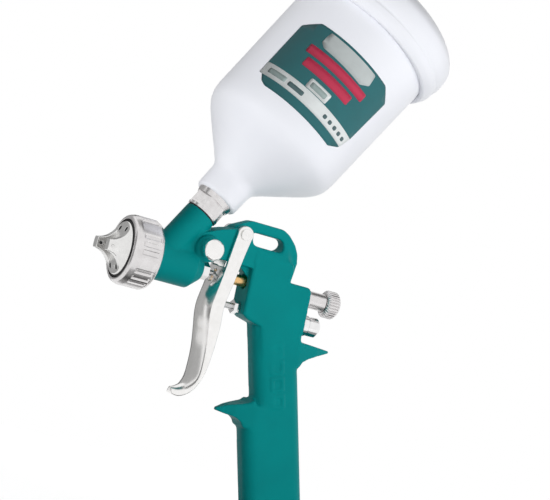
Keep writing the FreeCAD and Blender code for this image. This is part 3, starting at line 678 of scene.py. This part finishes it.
def bore_tool(name, spot, way, radius, low, high):
    """A round bar through a spot along way, from low to high mm above it."""
    way = Vector(way).normalized()
    place = axis_frame(spot, way, way.cross(Vector((0, 0, 1))))
    return spun(name, place, [(low, 0), (low, radius), (high, radius), (high, 0)], 32)


def air_cap():
    """The cap with its horn bores closed and its rim groove cut, with black discs in the groove,
    jets and bores as painted shade.
    """
    horn, jet_across, jet_up, bore = -94.9, 4.6, 11.4, 1.65
    shaded_groove_floor, groove_inner = -84.0, 16.2
    cast = copy_of("air_cap", "air_cap_cast")
    bpy.context.view_layer.update()
    plugs = []
    for side in (-1, 1):
        hit, spot, _, _ = cast.ray_cast(gun(horn, side * 25, 1.4), (0, -side, 0))
        if hit:
            reach = abs((spot - HOME).y / MM) - 0.4
            plugs.append(bore_tool("horn_plug", (horn, 0, 0), (0, side, 0), 1.3, 7.6, reach))
    piece = joined("air_cap_horned", [cast, *plugs])
    remeshed(piece, 0.22, 6)
    bpy.context.view_layer.update()
    mouths = []
    for side, up in ((-1, -1), (-1, 1), (1, -1), (1, 1)):
        eye = gun(-112, side * jet_across, up * jet_up)
        hit, spot, normal, _ = piece.ray_cast(eye, (1, 0, 0))
        if hit:
            mouths.append(((spot - HOME) / MM, normal.copy()))
    groove = [(shaded_groove_floor, groove_inner), (-88, groove_inner), (-88, 18.5), (shaded_groove_floor, 18.5)]
    without(piece, spun("groove", BARREL, groove, 128))
    # Painted shade: a black ring on the groove's floor and black plugs in the bores and jets stand
    # for the dark inside of these hollows.
    dark = [
        (shaded_groove_floor + 0.1, 16.1), (-85.4, 16.1), (-85.4, 16.32), (shaded_groove_floor - 0.15, 16.32),
        (shaded_groove_floor - 0.15, 17.55), (shaded_groove_floor + 0.1, 17.55),
    ]
    shades = [spun("shaded_groove_floor", BARREL, dark, 128)]
    for spot, normal in mouths:
        without(piece, bore_tool("bore", spot, normal, bore, -2.4, 2))
        shades.append(bore_tool("bore_shade", spot, normal, bore - 0.03, -2.3, -0.15))
    for side in (-1, 1):
        shades.append(bore_tool("jet", (horn, side * 6.6, 0), (0, side, 0), 0.85, -0.2, 0.8))
    dress(piece, BRIGHT, "bright_nickel", "cap", "air_cap")
    # The black discs are painted shade, dressed in the black seal material.
    dress(joined("air_cap_shade_discs", shades), SEAL, "seal", "cap")


air_cap()

# ---------------------------------------------------------------- cup and lid

CUP_PROFILE = [
    (49.5, 13.2), (50.6, 14.0), (58, 14.3), (65, 14.8), (70, 18.6), (78, 27.0), (86, 35.4),
    (92, 41.2), (97, 44.4), (103, 45.7), (112, 45.95), (130, 46.2), (150, 46.5), (174, 46.85),
    (198, 47.2),
]


def cup():
    outer = smooth_line([Vector(p) for p in CUP_PROFILE], 110)
    inner = [Vector((p.x, p.y - 1.8)) for p in reversed(outer) if p.x > 66]
    inner += [Vector((63.5, 8.95)), Vector((49.5, 8.95))]
    rows = [tuple(p) for p in outer + inner]
    piece = spun("paint_cup", CUP, rows, 160)
    dress(piece, MILKY, "milky_plastic", "gun", "cup")


cup()


def lid():
    skirt = 47.3
    dome = smooth_line([
        (191.4, 53.3), (194.5, 54.0), (199, 54.1), (204, 52.9), (209.3, 47.8), (213.8, 38.6),
        (216.8, 26.2), (218.3, 14), (218.6, 7), (218.6, 3.6),
    ], 60)
    rim = [(182.5, skirt), (182.5, 50.2), (186, 52.4), (189.6, 53.2), (190.5, 52.8)]
    rows = [
        *eased(rim, 1.0, 4, False),
        *dome,
        Vector((216.4, 3.6)), Vector((216.2, 14)), Vector((214.9, 24.2)), Vector((211.4, 35.2)),
        Vector((207.5, 42.4)), Vector((193, 42.8)), Vector((193, 44.9)), Vector((198.8, 44.9)),
        Vector((198.8, skirt)),
    ]
    piece = spun("cup_lid", CUP, [tuple(p) for p in rows], 160)
    dress(piece, MILKY, "milky_plastic", "lid", "lid")


lid()

# ---------------------------------------------------------------- label on the cup

CUP_ARC = 45.9 * math.pi / 180


def cup_radius(station):
    """The cup's outside radius where the label lies, 1.4 mm wider over 96 mm of height."""
    return 45.8 + (station - 102) * 1.4 / 96


def film(outline, layer):
    """Thin printed film wrapped on the cup. Corners are (degrees, station) from the near side."""
    flat = eased([(degrees * CUP_ARC, station) for degrees, station in outline], 1.0, 4)
    work = bmesh.new()
    work.faces.new([work.verts.new((p.x, p.y, 0)) for p in flat])
    for cut in range(-60, 61, 3):
        bmesh.ops.bisect_plane(
            work, geom=work.verts[:] + work.edges[:] + work.faces[:], dist=1e-6,
            plane_co=(cut, 0, 0), plane_no=(1, 0, 0),
        )
    for cut in range(105, 166, 6):
        bmesh.ops.bisect_plane(
            work, geom=work.verts[:] + work.edges[:] + work.faces[:], dist=1e-6,
            plane_co=(0, cut, 0), plane_no=(0, 1, 0),
        )
    for point in work.verts:
        angle = point.co.x / CUP_ARC * math.pi / 180
        station = point.co.y
        radius = cup_radius(station) + 0.25 + 0.08 * layer
        point.co = (station, radius * math.cos(angle), -radius * math.sin(angle))
    bmesh.ops.recalc_face_normals(work, faces=work.faces)
    mesh = bpy.data.meshes.new("film")
    work.to_mesh(mesh)
    work.free()
    piece = add_object("film", mesh)
    first = mesh.polygons[0]
    outward = Vector((0, first.center.y, first.center.z)).dot(first.normal) > 0
    mesh.transform(CUP)
    thick = piece.modifiers.new("Film", "SOLIDIFY")
    thick.thickness = 0.1 * MM
    thick.offset = -1 if outward else 1
    return applied(piece)


def block_of(left, right, low, high):
    return [(left, low), (right, low), (right, high), (left, high)]


def label():
    inks = {
        "label_ground": ((0.013, 0.140, 0.155), 0, [
            [(64.5, 154), (51.5, 161), (-16, 160.7), (-28, 154.5), (-26.5, 124), (-23, 114.3),
             (-14.5, 109.4), (52, 109.2), (57, 111), (64.5, 118)],
        ]),
        "label_plate": ((0.60, 0.65, 0.65), 1, [
            [(41, 159.5), (-4, 159.2), (-6, 152), (0.5, 148), (37.5, 149), (42, 151.5)],
        ]),
        "label_band": ((0.61, 0.032, 0.091), 1, [
            block_of(-9.5, 47, 141.2, 147),
            block_of(-2.5, 42, 133, 139.3),
        ]),
        "label_pale": ((0.87, 0.91, 0.91), 1, [
            block_of(9.5, 29, 123.9, 130.5),
            [(-26.4, 123.5), (-23.6, 115), (64.3, 115), (64.3, 123.5)],
        ]),
        "label_squares": ((0.09, 0.16, 0.17), 2, [
            *[block_of(at - 1.6, at + 1.6, 117.7, 120.3) for at in (3, -2.8, -8.6, -14.4, -20)],
            block_of(25.5, 39.5, 117.5, 120.5),
        ]),
        "label_inset": ((0.40, 0.50, 0.49), 2, [
            block_of(42, 58.5, 117.5, 121),
            block_of(12, 26.5, 125.4, 129),
        ]),
    }
    for name, (colour, layer, shapes) in inks.items():
        piece = joined(name, [film(shape, layer) for shape in shapes])
        dress(piece, print_ink(name + "_ink", colour), "white_plastic", "gun")


label()

for node, material in {
    "fluid_nozzle": STEEL, "nozzle_washer": SEAL, "air_baffle": WHITE, "fluid_needle": STEEL,
    "needle_sleeve": BRASS, "packing_nut": CHROME, "packing_seal": WHITE, "needle_spring": STEEL,
    "knob_guide": NICKEL, "air_valve_stem": STEEL, "air_valve_seat": SEAL, "air_valve_nut": CHROME,
    "air_valve_spring": STEEL, "air_valve_cap": CHROME, "pivot_screw": NICKEL,
    "fan_bushing": CHROME, "air_inlet": NICKEL, "inlet_washer": SEAL, "cup_adapter": NICKEL,
    "adapter_washer": SEAL, "paint_filter": WHITE, "lid_gasket": SEAL, "vent_plug": MILKY,
}.items():
    thing = NODES[node]
    for slot in thing.material_slots:
        slot.material = material

# ---------------------------------------------------------------- stage


def camera():
    lens = bpy.data.cameras.new("camera")
    sensor, distance, width_seen = 36, 1200, 330
    lens.sensor_width = sensor
    lens.lens = sensor * distance / width_seen
    lens.clip_end = 20
    eye = bpy.data.objects.new("camera", lens)
    bpy.context.scene.collection.objects.link(eye)
    right = Vector((0.8589, -0.4413, 0.2600)).normalized()
    back = Vector((-0.45, -0.8926, -0.0286))
    back = (back - right * back.dot(right)).normalized()
    up = back.cross(right)
    turn = Matrix((right, up, back)).transposed().to_4x4()
    eye.matrix_world = Matrix.Translation(gun(-530.4, -1076.7, -11.1)) @ turn
    bpy.context.scene.camera = eye


camera()


def lamp(name, spot, aim, size, power, only=(), spared=()):
    """A round soft lamp, which may light only some objects, or all but some."""
    light = bpy.data.lights.new(name, "AREA")
    light.shape = "DISK"
    light.size = size
    light.energy = power
    thing = bpy.data.objects.new(name, light)
    bpy.context.scene.collection.objects.link(thing)
    thing.location = spot
    thing.rotation_euler = (Vector(aim) - Vector(spot)).to_track_quat("-Z", "Y").to_euler()
    thing.visible_glossy = False
    if only or spared:
        picked = bpy.data.collections.new(name + "_picked")
        for piece in only or spared:
            picked.objects.link(piece)
        if spared:
            for entry in picked.collection_objects:
                entry.light_linking.link_state = "EXCLUDE"
        thing.light_linking.receiver_collection = picked


MIDDLE = (0, 0, 0.17)
ROOM_LIGHT = 0.58
FLOOR_GLOW = 0.76
CLOUDY = [bpy.data.objects["paint_cup"], bpy.data.objects["cup_lid"], NODES["vent_plug"]]
lamp("key", (0.32, -1.45, 0.0), MIDDLE, 1.0, 11, spared=CLOUDY)
lamp("back", (0.4, 1.6, 0.15), MIDDLE, 1.2, 3.2)
lamp("cup_left", (-1.35, 0.5, 0.25), MIDDLE, 1.0, 11.5, CLOUDY)
lamp("cup_front", (-0.5, -1.35, 0.02), MIDDLE, 1.0, 12, CLOUDY)
lamp("cup_right", (1.35, -0.5, -0.1), MIDDLE, 1.0, 6.5, CLOUDY)


def card(name, way, distance, width, height, level, mirrored, slide=0.0):
    """A dark card off camera: in reflections when mirrored, else as shade on the paint.

    It stands distance along way from the gun's middle, then slides along X.
    """
    way = Vector(way).normalized()
    middle = Vector(MIDDLE) + way * distance + Vector((slide, 0, 0))
    side = way.cross(Vector((0, 0, 1) if abs(way.z) < 0.8 else (0, 1, 0))).normalized()
    up = side.cross(way)
    corners = [middle + side * u * width / 2 + up * v * height / 2
               for u, v in ((-1, -1), (1, -1), (1, 1), (-1, 1))]
    mesh = bpy.data.meshes.new(name)
    mesh.from_pydata([tuple(p) for p in corners], [], [(0, 1, 2, 3)])
    board = add_object(name, mesh, smooth=False)
    s = Shader(name)
    glow = s.add("ShaderNodeEmission")
    glow.inputs["Strength"].default_value = level
    s.link(glow, "Emission", s.nodes["Material Output"], "Surface")
    mesh.materials.append(s.material)
    board.visible_camera = False
    board.visible_glossy = mirrored
    board.visible_diffuse = not mirrored
    board.visible_transmission = False
    board.visible_shadow = False


card("mirror_behind", (0.14, 0.99, 0.0), 1.1, 0.42, 1.5, 0.12, True)
card("mirror_side", (-0.36, 0.93, 0.0), 1.1, 0.72, 1.5, 0.40, True)
card("mirror_quarter", (-0.76, 0.65, 0.0), 1.1, 0.74, 1.5, 0.42, True)
card("mirror_front", (-1.0, 0.02, 0.0), 1.1, 0.34, 1.6, 0.18, True)
card("mirror_above", (0.40, 0.12, 0.9), 1.0, 1.2, 0.95, 0.30, True)
card("mirror_overhead", (0.40, 0.08, 0.9), 0.97, 1.2, 0.26, 0.06, True)
card("mirror_below_ring", (0.0, 0.0, -1.0), 0.172, 0.17, 0.26, 0.32, True, -0.105)
card("mirror_under_ring", (0.0, 0.0, -1.0), 0.171, 0.17, 0.06, 0.05, True, -0.105)
card("mirror_below_knobs", (0.0, 0.0, -1.0), 0.172, 0.1, 0.26, 0.32, True, 0.09)
card("mirror_under_knobs", (0.0, 0.0, -1.0), 0.171, 0.1, 0.06, 0.05, True, 0.09)
card("shade_above", (-0.1, 0.1, 1.0), 0.8, 1.9, 1.7, 0.0, False)
card("shade_left", (-1.0, 0.1, 0.0), 0.8, 0.9, 1.1, 0.05, False)


def direct_ray(nodes, links, path):
    """One for camera, glossy and transmission rays, which see the white backdrop."""
    either = nodes.new("ShaderNodeMath")
    either.operation = "MAXIMUM"
    links.new(path.outputs["Is Camera Ray"], either.inputs[0])
    links.new(path.outputs["Is Glossy Ray"], either.inputs[1])
    any_of = nodes.new("ShaderNodeMath")
    any_of.operation = "MAXIMUM"
    links.new(either.outputs["Value"], any_of.inputs[0])
    links.new(path.outputs["Is Transmission Ray"], any_of.inputs[1])
    return any_of


def world():
    room = bpy.data.worlds.new("studio")
    room.use_nodes = True
    bpy.context.scene.world = room
    nodes, links = room.node_tree.nodes, room.node_tree.links
    base = nodes["Background"]
    base.inputs["Color"].default_value = (1, 1, 1, 1)
    base.inputs["Strength"].default_value = ROOM_LIGHT
    seen = nodes.new("ShaderNodeBackground")
    seen.inputs["Color"].default_value = (1, 1, 1, 1)
    seen.inputs["Strength"].default_value = 1.0
    path = nodes.new("ShaderNodeLightPath")
    mix = nodes.new("ShaderNodeMixShader")
    links.new(direct_ray(nodes, links, path).outputs["Value"], mix.inputs["Fac"])
    links.new(base.outputs["Background"], mix.inputs[1])
    links.new(seen.outputs["Background"], mix.inputs[2])
    links.new(mix.outputs["Shader"], nodes["World Output"].inputs["Surface"])


world()


def floor():
    """A pale disc under the gun, near white to the camera but for the gun's shadow."""
    radius, height, sides = 0.6, -0.004, 96
    turns = [2 * math.pi * k / sides for k in range(sides)]
    rim = [(radius * math.cos(turn), radius * math.sin(turn), height) for turn in turns]
    mesh = bpy.data.meshes.new("floor")
    mesh.from_pydata(rim, [], [tuple(range(sides))])
    disc = add_object("floor", mesh, smooth=False)
    s = Shader("pale_floor").set(Roughness=0.9, Specular_IOR_Level=0.0)
    s.main.inputs["Base Color"].default_value = (0.86, 0.86, 0.86, 1)
    path = s.add("ShaderNodeLightPath")
    seen = direct_ray(s.nodes, s.links, path)
    lift = s.add("ShaderNodeMath", operation="MULTIPLY")
    s.link(seen, "Value", lift, 0)
    lift.inputs[1].default_value = FLOOR_GLOW
    glow = s.add("ShaderNodeEmission")
    s.link(lift, "Value", glow, "Strength")
    both = s.add("ShaderNodeAddShader")
    s.link(s.main, "BSDF", both, 0)
    s.link(glow, "Emission", both, 1)
    s.link(both, "Shader", s.nodes["Material Output"], "Surface")
    mesh.materials.append(s.material)


floor()

bpy.context.scene.view_settings.view_transform = "Standard"
bpy.context.view_layer.update()
